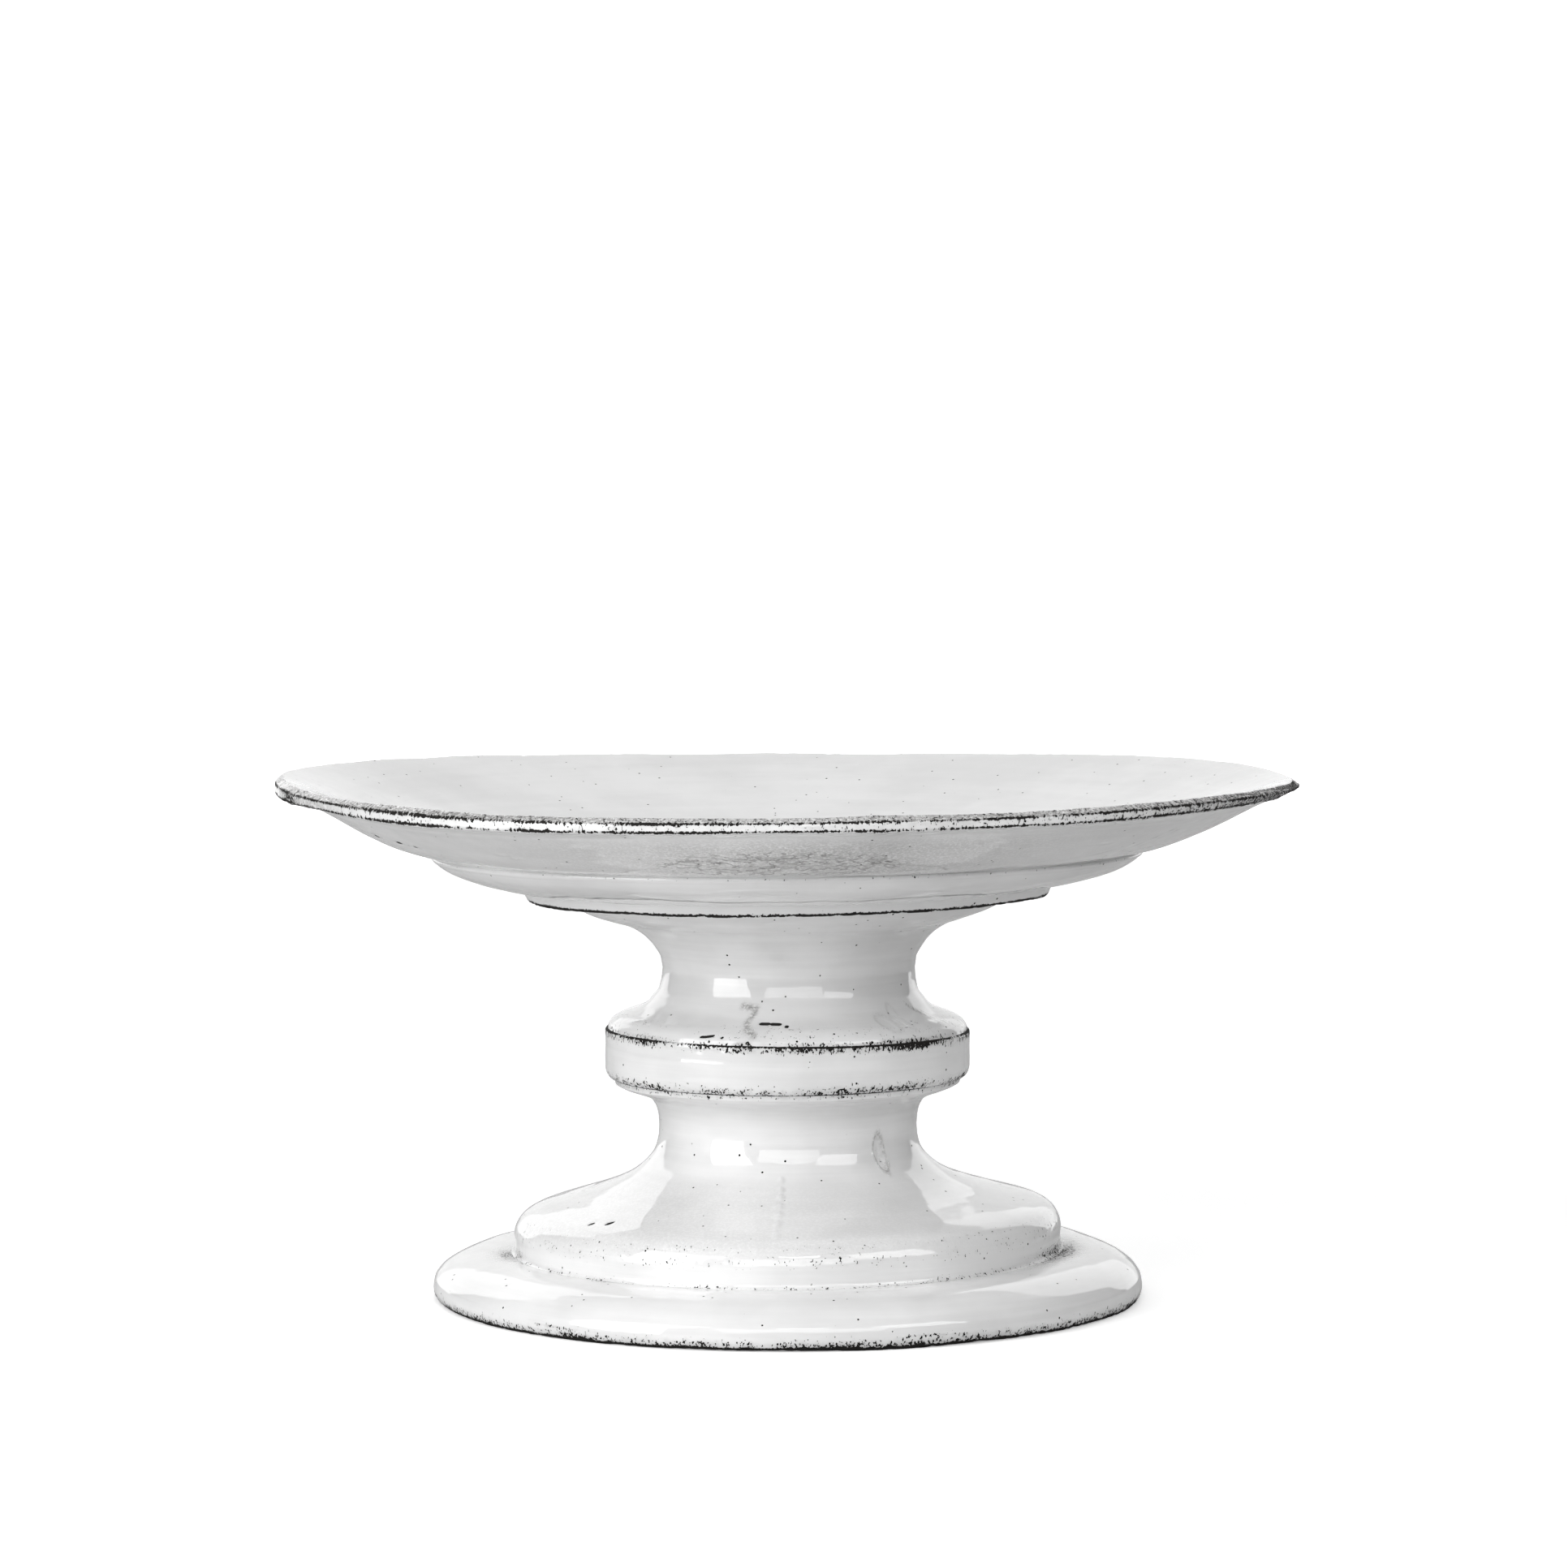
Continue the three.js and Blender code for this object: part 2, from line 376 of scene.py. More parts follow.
def add_slits(clay, slits):
    """Opens slits where the glaze has crawled back, and returns the height they add."""
    for centre, mark_z, length, slope in slits:
        side = clay.side(centre)
        thick = np.clip(1 - np.abs(clay.z - mark_z - slope * side) / SLIT_HALF_HEIGHT, 0, 1)
        clay.add("slit", thick * ease(length / 2 - np.abs(side), *SLIT_END) * (clay.out > 0))
    return -SLIT_DEPTH * clay.marks["slit"]


def add_stains(clay, stains):
    """Draws grey strokes, each along a path of (azimuth, z) with a half width and a strength."""
    for path, half_width, strength in stains:
        for (turn_a, z_a), (turn_b, z_b) in zip(path, path[1:]):
            side = clay.side(turn_a)
            run = math.radians(turn_b - turn_a) * clay.r
            rise = z_b - z_a
            along = np.clip((side * run + (clay.z - z_a) * rise) / (run * run + rise * rise), 0, 1)
            gap = np.hypot(side - along * run, clay.z - z_a - along * rise)
            clay.add("stain_and_shade", strength * np.exp(-((gap / half_width) ** 2)) * (clay.out > 0))


def hand_made_height(clay):
    """Lumps, wheel ridges and nicked edges, before any single mark."""
    place = clay.place
    height = sum(size * ripples(place, spacing, seed) for spacing, size, seed in LUMPS)
    for pitch, size, seed in WHEEL_RIDGES:
        wander = RIDGE_WANDER * ripples(place, RIDGE_WANDER_SPACING, seed)
        height += size * np.sin(2 * math.pi * clay.z / pitch + wander)
    nicks = np.maximum(ripples(place, NICK_SPACING, NICK_SEED), 0)
    return height - NICK_DEPTH * np.minimum(clay.marks["worn"], 1) * nicks


def turn_piece(
    name, node, section, columns, edges=(), dents=(), slits=(), stains=(), shape=None, marks=None
):
    """Turns a section into a hand-made piece that stands for a CAD node. edges wear as wear_along
    says. dents are (azimuth, z, width, height, depth), slits are (azimuth, z, length, slope), and
    stains are (path, half width, strength). shape moves points of its own, and marks adds to the
    marks that the glaze reads."""
    points, hidden = section
    rows = len(points)
    closed = points[0][0] > 1
    normals = outline_normals(points, closed)
    turn = np.tile(np.arange(columns) * 2 * math.pi / columns, rows)
    r, z = np.repeat(points, columns, axis=0).T
    out, up = np.repeat(normals, columns, axis=0).T
    clay = Clay(turn, r, z, out, up, {mark: np.zeros(len(r)) for mark in MARKS})

    wear = np.repeat(wear_along(points, edges), columns)
    clay.add("worn", wear * (WEAR_MEAN + WEAR_SWING * ripples(clay.place, WEAR_SPACING, WEAR_SEED)))
    if marks:
        marks(clay)
    height = hand_made_height(clay) + add_dents(clay, dents) + add_slits(clay, slits)
    height += CRUMB_HEIGHT * clay.marks["crust"] * ripples(clay.place, CRUMB_SPACING, CRUMB_SEED)
    add_stains(clay, stains)

    free = np.repeat(free_share(points, hidden), columns)
    clay.r = r + out * height * free
    clay.z = z + up * height * free
    if shape:
        shape(clay)

    piece = grid_mesh(name, settle(clay.place), rows, columns, closed)
    for mark, value in clay.marks.items():
        write_mark(piece.data, mark, value)
    if not closed:
        cap_axis(piece, rows, columns, points[0][1], points[-1][1])
    piece.data.shade_smooth()
    piece.data.set_sharp_from_angle(angle=math.radians(SHARP_FROM))
    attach(piece, "root")
    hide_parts(node)
    return piece


# ---- The clay pieces, from the table up ----------------------------------------------------------


# Spots round a piece, each an azimuth, a half width and a strength.
BASE_CRUST = ((78, 18, 0.9), (-82, 10, 0.8), (160, 12, 0.7))
BASE_RUNS = ((24, 9, 1), (-38, 6, 1), (118, 9, 1), (-150, 8, 1))
# Wandering lines round the base: height, how far they stray, spacing of the bends, and seed.
BARE_LINE = (1.2, 0.35, 5, 32)
SECOND_LINE = (3.6, 0.5, 14, 31)


def wandering_line(clay, z, stray, spacing, seed):
    """The height of a line round a piece that wanders up and down."""
    return z + stray * ripples(clay.place, spacing, seed)


def mark_base(clay):
    """Crust in the crease at the ends, bare clay at the foot, and a second dark line in places."""
    crease_gap = np.hypot(clay.r - SHOULDER_R - 1.5, clay.z - BASE_CREASE_Z)
    clay.add("crust", np.exp(-((crease_gap / 5) ** 2)) * clay.spots(BASE_CRUST))
    clay.add("bare", ease(wandering_line(clay, *BARE_LINE) - clay.z, 0, 0.3))
    line_gap = clay.z - wandering_line(clay, *SECOND_LINE)
    second_line = np.exp(-((line_gap / 0.5) ** 2)) * (clay.r > BASE_R - 4)
    clay.add("worn", 0.75 * clay.spots(BASE_RUNS) * second_line)


def base_flange():
    """Low convex ring on a bare, gritty foot, with glaze drawn up in the crease under the bell."""
    crease_z = BASE_CREASE_Z
    section = outline(
        (FOOT_INNER_R + 1.5, 0),
        line(BASE_R - 3, 0, FINE),
        curve(BASE_R - 0.6, 0.1, BASE_R + 0.3, 3.2, BASE_R - 0.8, 6.5, FINE),
        curve(BASE_R - 3.8, 11.2, BASE_R - 10.8, crease_z + 0.2, SHOULDER_R + 1.4, crease_z),
        line(SHOULDER_R + 0.7, crease_z, FINE),
        line(SHOULDER_R - 0.9, crease_z - 0.2, FINE, True),
        line(SHOULDER_R - 1, BASE_SEAT_Z, FINE, True),
        line(BASE_HOLE_R + 0.4, BASE_SEAT_Z, COARSE, True),
        line(BASE_HOLE_R, BASE_SEAT_Z - 0.6, FINE),
        line(BASE_HOLE_R, 7.4, COARSE),
        curve(BASE_HOLE_R, 6.4, BASE_HOLE_R + 3, 6.2, BASE_HOLE_R + 8, 5.8, COARSE),
        curve(FOOT_INNER_R - 5, 5, FOOT_INNER_R - 1, 2.5, FOOT_INNER_R, 0.9, MIDDLE),
        curve(FOOT_INNER_R + 0.2, 0.4, FOOT_INNER_R + 0.7, 0, FOOT_INNER_R + 1.5, 0, FINE),
    )
    edges = (
        (BASE_R - 1.5, 0.2, 1.2, 2.4),
        (BASE_R - 0.7, 1.2, 2.1, 0.86),
        (FOOT_INNER_R + 1, 0, 2, 0.9),
        (SHOULDER_R + 1.2, crease_z, 0.9, 0.36),
    )
    return turn_piece("glazed_base", "base_flange", section, BASE_COLUMNS, edges, marks=mark_base)


BELL_CRUST = ((74, 15, 1), (-76, 5, 0.8), (162, 10, 0.6))
SCAR_TURN, SCAR_Z, SCAR_HALF_WIDTH, SCAR_HALF_HEIGHT = 44, 44.6, 1.3, 4


def mark_lower_stem(clay):
    """A dome greyed with painted shade and painted reflection except round its right side, a rough scar on
    the waist, and crust low on the band at the ends.
    """
    dome = ease(clay.z, 20, 25) * ease(clay.z, 42, 32) * (clay.out > 0)
    # Painted shade and painted reflection of dark surroundings: greys the dome, except round its right side.
    clay.add("stain_and_shade", 0.16 * dome * (1 - clay.near(70, 45)))
    scar_x = clay.side(SCAR_TURN) / SCAR_HALF_WIDTH
    scar_z = (clay.z - SCAR_Z) / SCAR_HALF_HEIGHT
    clay.add("crust", 0.5 * np.exp(-(scar_x**2) - scar_z**2) * (clay.out > 0))
    low_band = ease(BASE_CREASE_Z + 4.5 - clay.z, 0, 3)
    clay.add("crust", 0.8 * low_band * clay.spots(BELL_CRUST) * (clay.out > 0))


def lower_stem():
    """Bell with an upright band, a rounded shoulder, a dome and a waist that flares to the collar."""
    band_r, band_z, band_top = SHOULDER_R, BASE_CREASE_Z, BASE_CREASE_Z + 5.9
    section = outline(
        (BELL_MOUTH_R, BELL_SEAT_Z),
        line(band_r - 1, BELL_SEAT_Z, COARSE, True),
        line(band_r - 0.8, band_z + 0.1, FINE, True),
        line(band_r + 0.9, band_z, FINE),
        curve(band_r + 0.3, band_z + 0.3, band_r, band_z + 0.9, band_r, band_z + 1.6, FINE),
        line(band_r, band_top, FINE),
        curve(band_r - 0.1, band_top + 3, band_r - 2, band_top + 5.8, band_r - 6, band_top + 7.2, FINE),
        curve(60, 32, LOWER_WAIST_R + 0.4, 34.4, LOWER_WAIST_R, LOWER_WAIST_Z),
        curve(LOWER_WAIST_R - 0.5, 53.5, LOWER_WAIST_R + 0.6, 57.2, LOWER_WAIST_R + 2.4, 58.8),
        curve(LOWER_WAIST_R + 5.2, 61, 47.5, 61.2, COLLAR_FOOT_R - 0.6, 63.2, FINE),
        line(COLLAR_FOOT_R - 0.2, COLLAR_FOOT_Z, FINE),
        line(COLLAR_FOOT_R - 1, COLLAR_FOOT_Z + 0.2, FINE, True),
        line(COLLAR_FOOT_R - 1.2, BELL_TOP_Z, FINE, True),
        line(STEM_HOLE_R, BELL_TOP_Z, COARSE, True),
        curve(34, 60.6, BORE_R, 56.6, BORE_R, LOWER_WAIST_Z, COARSE),
        curve(BORE_R + 0.4, 26, 60, 24, BELL_MOUTH_R, 17.4, COARSE),
        line(BELL_MOUTH_R, BELL_SEAT_Z, COARSE),
    )
    edges = (
        (band_r + 0.6, band_z + 0.2, 1.2, 0.45),
        (band_r - 0.2, band_top + 1.6, 2.2, 0.3),
        (band_r - 2.2, band_top + 5.2, 1.6, 0.22),
        (COLLAR_FOOT_R - 0.4, COLLAR_FOOT_Z - 0.4, 1.2, 0.5),
    )
    bead_heights = (28, 30, 31.7, 33.6, 35.5, 37.2, 39.5)
    beads = [(-2.4, z, 1.9, 1.7, -0.5) for z in bead_heights]
    dents = (
        *beads,
        (43.5, 45.4, 3.6, 10, 1.3),
        (46, 43, 1.8, 4, -0.6),
        (-96, 33, 6, 3, 0.2),
        (200, 41, 7, 4, 0.3),
    )
    slits = ((128, 52, 5, 0.1), (226, 57, 4, -0.2), (-52, 28.1, 1.6, 0.15), (-47, 28.6, 2, 0.2))
    return turn_piece(
        "glazed_lower_stem",
        "lower_stem",
        section,
        STEM_COLUMNS,
        edges,
        dents,
        slits,
        marks=mark_lower_stem,
    )


def collar():
    """Plain ring, worn to the clay along its sharp upper edge and its rounded lower one."""
    foot_z, edge_z = COLLAR_FOOT_Z, COLLAR_EDGE_Z
    section = outline(
        (STEM_HOLE_R, COLLAR_SEAT_Z),
        line(COLLAR_FOOT_R - 1, COLLAR_SEAT_Z, COARSE, True),
        line(COLLAR_FOOT_R, foot_z, FINE, True),
        curve(COLLAR_R - 1, foot_z + 0.4, COLLAR_R, foot_z + 1.6, COLLAR_R, foot_z + 3.8, FINE),
        line(COLLAR_R, edge_z - 1.1, FINE),
        curve(COLLAR_R, edge_z - 0.5, COLLAR_R - 0.2, edge_z - 0.1, COLLAR_EDGE_R - 0.2, edge_z, FINE),
        line(COLLAR_EDGE_R - 1, edge_z - 0.1, FINE, True),
        line(COLLAR_EDGE_R - 1.2, COLLAR_TOP_Z, FINE, True),
        line(STEM_HOLE_R, COLLAR_TOP_Z, COARSE, True),
        line(STEM_HOLE_R, COLLAR_SEAT_Z, COARSE),
    )
    edges = (
        (COLLAR_R - 0.3, edge_z - 0.1, 0.7, 1.9),
        (COLLAR_R - 0.1, edge_z - 1, 1.4, 0.92),
        (COLLAR_R - 1.2, foot_z + 1.2, 1.8, 0.82),
        (COLLAR_R - 2, foot_z + 0.2, 0.6, 1.6),
    )
    return turn_piece("glazed_collar", "collar", section, STEM_COLUMNS, edges)


def upper_stem():
    """Trumpet that narrows above the collar, then flares out from a soft ridge to the foot ring."""
    section = outline(
        (STEM_HOLE_R, TRUMPET_SEAT_Z),
        line(COLLAR_EDGE_R - 1.2, TRUMPET_SEAT_Z, COARSE, True),
        line(COLLAR_EDGE_R - 1, COLLAR_EDGE_Z - 0.1, FINE, True),
        line(COLLAR_EDGE_R - 0.3, COLLAR_EDGE_Z - 0.1, FINE),
        curve(COLLAR_EDGE_R - 0.6, 81.8, 50.6, 83, 47.7, 83.8),
        curve(44.6, 84.9, 41.8, 85.8, 40.3, 88.2),
        curve(39.6, 89.2, UPPER_WAIST_R + 1.4, 89.6, UPPER_WAIST_R + 1, 91),
        curve(UPPER_WAIST_R + 0.5, 92.8, UPPER_WAIST_R, 95, UPPER_WAIST_R, UPPER_WAIST_Z),
        line(UPPER_WAIST_R + 0.6, FLARE_Z),
        curve(UPPER_WAIST_R + 2.6, 104.5, 43.5, 109.6, 50.5, 111.2),
        curve(56, 112.8, 62, 114.4, HEAD_R - 0.6, RING_BOTTOM_Z + 0.1),
        line(HEAD_R - 0.4, RING_BOTTOM_Z + 0.4, COARSE, True),
        line(HEAD_R - 0.4, TRUMPET_TOP_Z, COARSE, True),
        line(HEAD_HOLE_R, TRUMPET_TOP_Z, COARSE, True),
        curve(34, 118.6, BORE_R - 0.3, 106.6, BORE_R, UPPER_WAIST_Z, COARSE),
        curve(BORE_R + 0.5, 86.6, 34, 82.8, STEM_HOLE_R, TRUMPET_SEAT_Z, COARSE),
    )
    edges = (
        (COLLAR_EDGE_R - 0.3, COLLAR_EDGE_Z + 0.3, 0.9, 0.8),
        (COLLAR_EDGE_R - 4, COLLAR_EDGE_Z + 1.4, 4, 0.33),
    )
    dents = (
        (38, 84.2, 5, 4, 0.3),
        (46, 85.5, 3, 6, 0.25),
        (150, 90, 6, 5, 0.3),
        (-120, 88, 5, 3, 0.25),
    )
    slits = (
        (-8.4, 84.75, 3.6, 0.0),
        (-4.2, 84.65, 3.4, -0.03),
        (-0.4, 84.1, 1.4, 0.0),
        (-26.2, 81.3, 5, 0.12),
        (-21, 81.2, 1.4, 0.1),
        (112, 84.6, 5, -0.1),
        (-142, 83, 4, 0.1),
    )
    scar = ((-19.1, 89.1), (-13.2, 88.6), (-13.9, 86.9), (-15.2, 85), (-13.7, 83.2), (-10.8, 81.9))
    stains = (
        (scar, 0.8, 1.0),
        (((58, 88.5), (64, 84.6)), 0.35, 0.9),
        (((62, 87), (67, 82.8)), 0.35, 0.9),
        (((66, 86), (70, 82)), 0.3, 0.8),
    )

    return turn_piece(
        "glazed_upper_stem", "upper_stem", section, STEM_COLUMNS, edges, dents, slits, stains
    )


def plate_foot_ring():
    """Low ring under the plate, whose sharp lower edge shows a dark line of clay."""
    bottom_z = RING_BOTTOM_Z
    section = outline(
        (RING_HOLE_R, bottom_z + 0.4),
        line(RING_HOLE_R + 1, bottom_z, FINE),
        line(RING_R - 2.2, bottom_z),
        curve(RING_R - 1.8, bottom_z, RING_R - 1.6, bottom_z + 0.2, RING_R - 1.4, bottom_z + 0.6, FINE),
        line(RING_R, RING_CREASE_Z, FINE),
        line(RING_R - 0.9, RING_CREASE_Z, FINE, True),
        line(RING_R - 1, RING_TOP_Z, FINE, True),
        line(RING_HOLE_R, RING_TOP_Z, COARSE, True),
        line(RING_HOLE_R, bottom_z + 0.4, COARSE, True),
    )
    edges = ((RING_R - 1.4, bottom_z + 0.3, 0.6, 2.2),)
    return turn_piece("glazed_foot_ring", "plate_foot_ring", section, STEM_COLUMNS, edges)


LIP_TOP_R = PLATE_R - 2.5
LIP_ARRIS_Z = RIM_Z - 1.5
LIP_FOOT_Z = RIM_Z - 4.5
# The share of its height that the lip gains at the left, and loses at the right.
LIP_THICKER, LIP_THINNER = 0.1, 0.2
# How far the lip's top falls outwards, and its face slants in, at the right.
LIP_SLOPE, LIP_SLANT = 0.9, 2.8
WIPED_PATCHES = ((-1, 14, 1), (105, 15, 0.6), (190, 18, 0.7))


def vary_lip(clay):
    """The lip is thick at the left. At the right its top slopes outwards and its face slants in."""
    left = clay.near(-92, 26)
    right = clay.near(88, 30)
    near = ease(clay.r, BRIM_R, PLATE_R - 1.5) * ease(clay.z, LIP_FOOT_Z - 2.5, LIP_FOOT_Z + 0.4)
    slope = ease(clay.r, LIP_TOP_R - 2, PLATE_R) * ease(clay.z, LIP_FOOT_Z, LIP_ARRIS_Z)
    slant = ease(clay.z, RIM_Z - 1.5, LIP_FOOT_Z + 0.3) * near
    taller = 1 + near * (LIP_THICKER * left - LIP_THINNER * right)
    clay.z = RIM_Z - (RIM_Z - clay.z) * taller - LIP_SLOPE * right * slope
    clay.r = clay.r - LIP_SLANT * right * slant


def mark_plate(clay):
    """Wear, stains and crust round the lip, wiped patches under it, and a grey one in front."""
    lip_side = ease(clay.r, LIP_TOP_R - 0.2, LIP_TOP_R + 0.5)
    lip = lip_side * ease(clay.z, LIP_FOOT_Z - 0.3, LIP_FOOT_Z + 0.3)
    bevel = lip * (clay.up > 0.35)
    face = lip * (clay.z < LIP_ARRIS_Z)
    clay.add("stain_and_shade", bevel * (0.85 + 0.8 * clay.near(-66, 18)))
    clay.add("stain_and_shade", lip * 0.5 * clay.near(-63, 7))
    clay.add("worn", bevel * 0.44)
    clay.add("worn", face * 0.35)

    turn = np.degrees(clay.turn) % 360
    dark_right = ease(turn, 8, 64) * ease(turn, 94, 80) * (clay.out > 0.2)
    dark_back = 0.5 * ease(turn, 130, 150) * ease(turn, 215, 190)
    dark_left = clay.near(-71.5, 4.6) * ease(LIP_ARRIS_Z + 0.3 - clay.z, 0, 0.5)
    clay.add("worn", lip * 0.66 * np.maximum(dark_right, dark_back))
    clay.add("crust", lip * np.maximum(0.7 * dark_right + 0.4 * clay.near(80, 9), dark_left))

    wiped_ring = np.exp(-(((clay.r - 118) / 10) ** 2)) * (clay.out > 0.1) * (clay.z < BRIM_Z)
    clay.add("wiped", clay.spots(WIPED_PATCHES) * wiped_ring)
    upper_tier = ease(clay.r, TIER_R, 110) * ease(clay.r, BRIM_R + 6, BRIM_R - 8) * (clay.out > 0.1)
    clay.add("stain_and_shade", 0.7 * clay.near(2, 28) * upper_tier)


def plate():
    """Shallow dish with a two-tier underside, a level brim and an upright lip, bevelled outwards."""
    foot_z = LIP_FOOT_Z
    section = outline(
        (0.5, PLATE_SEAT_Z),
        line(RING_R - 1, PLATE_SEAT_Z, COARSE, True),
        line(RING_R - 0.8, RING_CREASE_Z + 0.1, FINE, True),
        line(RING_R + 0.4, RING_CREASE_Z, FINE),
        curve(90, 123.4, 99, 125.4, TIER_R - 1, TIER_Z - 1.6),
        curve(TIER_R, TIER_Z - 1.1, TIER_R + 0.25, TIER_Z - 0.5, TIER_R - 0.1, TIER_Z, FINE),
        curve(TIER_R - 0.7, TIER_Z + 0.2, TIER_R - 0.7, TIER_Z + 0.5, TIER_R + 0.2, TIER_Z + 0.5, FINE),
        curve(115.5, 133.2, 130.6, 140.8, BRIM_R, BRIM_Z),
        curve(141, 146.1, 145.4, foot_z - 0.1, PLATE_R - 1.3, foot_z),
        curve(PLATE_R - 0.5, foot_z + 0.1, PLATE_R - 0.1, foot_z + 0.3, PLATE_R - 0.05, foot_z + 0.9, FINE),
        line(PLATE_R, LIP_ARRIS_Z - 0.3, FINE),
        curve(PLATE_R, LIP_ARRIS_Z, PLATE_R - 0.2, LIP_ARRIS_Z + 0.2, PLATE_R - 0.5, LIP_ARRIS_Z + 0.5, FINE),
        line(LIP_TOP_R + 0.4, RIM_Z - 0.15, FINE),
        curve(LIP_TOP_R + 0.1, RIM_Z, LIP_TOP_R - 0.3, RIM_Z, LIP_TOP_R - 0.9, RIM_Z - 0.3, FINE),
        curve(138, 149.2, 120, 143.4, TIER_R - 0.6, TIER_Z + 7, 1.5),
        curve(90, 133, 78, FLOOR_Z, FLOOR_R, FLOOR_Z, COARSE),
        line(0.5, FLOOR_Z, COARSE),
    )
    edges = (
        (PLATE_R - 0.15, LIP_ARRIS_Z, 0.55, 1.4),
        (PLATE_R - 0.1, foot_z + 0.6, 0.5, 1.5),
        (LIP_TOP_R, RIM_Z, 0.4, 0.5),
        (TIER_R, TIER_Z - 0.3, 0.4, 0.3),
    )
    dents = (
        (-39.5, 137.6, 4.2, 0.8, -0.3),
        (-38, 136.6, 3.4, 0.7, -0.3),
        (29, 139.6, 4.5, 1.0, -0.3),
        (44, 139, 4, 0.8, -0.25),
        (-31, 135.8, 4, 0.7, 0.2),
        (135, 139, 5, 1.2, 0.25),
        (-130, 137, 6, 1.4, 0.25),
    )
    slits = ((-66, 139.4, 4, 0.1), (-61, 138.4, 3, 0.1), (-58, 137.6, 3, 0.1), (149, 141, 5, 0.1))
    stains = (
        (((51, 133.6), (54.5, 141.5)), 0.35, 0.6),
        (((53, 133.8), (56.5, 141.5)), 0.3, 0.45),
        (((46, 135), (49, 136.5)), 0.3, 0.4),
    )

    return turn_piece(
        "glazed_plate",
        "plate",
        section,
        PLATE_COLUMNS,
        edges,
        dents,
        slits,
        stains,
        shape=vary_lip,
        marks=mark_plate,
    )


# ---- The slip joints -----------------------------------------------------------------------------


SLIP_HALF_HEIGHT = 0.72
SLIP_SETBACK = 0.6  # how far the slip stays inside the clay's outer face
SLIP_BULGE = 0.9  # how far its bead swells towards the axis


def slip_bead(node):
    """The thin layer of slip in a joint, squeezed out into a lumpy bead on its inner side."""
    outer_r, low_z, high_z = reach(node)
    inner_r = slip_hole(node)
    middle_z = (low_z + high_z) / 2
    bottom_z, top_z = middle_z - SLIP_HALF_HEIGHT, middle_z + SLIP_HALF_HEIGHT
    section = outline(
        (inner_r, bottom_z),
        line(outer_r - SLIP_SETBACK, bottom_z),
        curve(outer_r - 0.1, bottom_z, outer_r - 0.1, top_z, outer_r - SLIP_SETBACK, top_z),
        line(inner_r, top_z),
        curve(inner_r - SLIP_BULGE, top_z, inner_r - SLIP_BULGE, bottom_z, inner_r, bottom_z, FINE),
    )
    return turn_piece("bead_" + node, node, section, SLIP_COLUMNS)


def slip_hole(node):
    """The radius of the hole through a CAD ring."""
    return min(math.hypot(v.co.x, v.co.y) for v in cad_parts[node].data.vertices) / MM


# ---- Materials -----------------------------------------------------------------------------------


class Graph:
    """A material's node tree, with short calls for the nodes that these materials use."""

    def __init__(self, name):
        self.material = bpy.data.materials.new(name)
        self.material.use_nodes = True
        self.tree = self.material.node_tree
        self.shader = self.tree.nodes["Principled BSDF"]
        self.place = self.node("ShaderNodeTexCoord").outputs["Object"]

    def node(self, kind, **settings):
        made = self.tree.nodes.new(kind)
        for key, value in settings.items():
            setattr(made, key, value)
        return made

    def join(self, value, socket):
        """Sets a socket to a number or colour, or links another node's output to it."""
        if isinstance(value, bpy.types.NodeSocket):
            self.tree.links.new(value, socket)
        else:
            socket.default_value = value

    def math(self, operation, a, b=0.0, clamp=False):
        made = self.node("ShaderNodeMath", operation=operation, use_clamp=clamp)
        self.join(a, made.inputs[0])
        self.join(b, made.inputs[1])
        return made.outputs[0]

    def plus(self, a, b, clamp=False):
        return self.math("ADD", a, b, clamp)

    def times(self, a, b):
        return self.math("MULTIPLY", a, b)

    def either(self, a, b, clamp=False):
        return self.math("MAXIMUM", a, b, clamp)

    def swing(self, value, size):
        """A noise made to swing about 0."""
        return self.times(self.math("SUBTRACT", value, 0.5), size)

    def mark(self, name):
        """A number that turn_piece stored at each vertex."""
        return self.node("ShaderNodeAttribute", attribute_name=name).outputs["Fac"]

    def stretched(self, scale):
        """The place on the stand, scaled along each axis."""
        mapping = self.node("ShaderNodeMapping")
        self.join(self.place, mapping.inputs["Vector"])
        mapping.inputs["Scale"].default_value = scale
        return mapping.outputs["Vector"]

    def noise(self, scale, detail=2.0, roughness=0.5, vector=None):
        made = self.node("ShaderNodeTexNoise")
        self.join(vector or self.place, made.inputs["Vector"])
        made.inputs["Scale"].default_value = scale
        made.inputs["Detail"].default_value = detail
        made.inputs["Roughness"].default_value = roughness
        return made.outputs["Fac"]

    def ramp(self, value, low, high, to_low=0.0, to_high=1.0):
        made = self.node("ShaderNodeMapRange", interpolation_type="SMOOTHSTEP")
        self.join(value, made.inputs["Value"])
        made.inputs["From Min"].default_value = low
        made.inputs["From Max"].default_value = high
        made.inputs["To Min"].default_value = to_low
        made.inputs["To Max"].default_value = to_high
        return made.outputs["Result"]

    def blend(self, factor, a, b, kind="RGBA"):
        made = self.node("ShaderNodeMix", data_type=kind)
        sockets = [s for s in made.inputs if s.enabled]
        self.join(factor, sockets[0])
        self.join(a, sockets[1])
        self.join(b, sockets[2])
        return next(s for s in made.outputs if s.enabled)

    def red(self, colour):
        """The red share of a colour output, as a number."""
        made = self.node("ShaderNodeSeparateColor")
        self.join(colour, made.inputs[0])
        return made.outputs[0]

    def bump(self, height, strength, distance, normal=None):
        made = self.node("ShaderNodeBump")
        made.inputs["Strength"].default_value = strength
        made.inputs["Distance"].default_value = distance
        self.join(height, made.inputs["Height"])
        if normal:
            self.join(normal, made.inputs["Normal"])
        return made.outputs["Normal"]


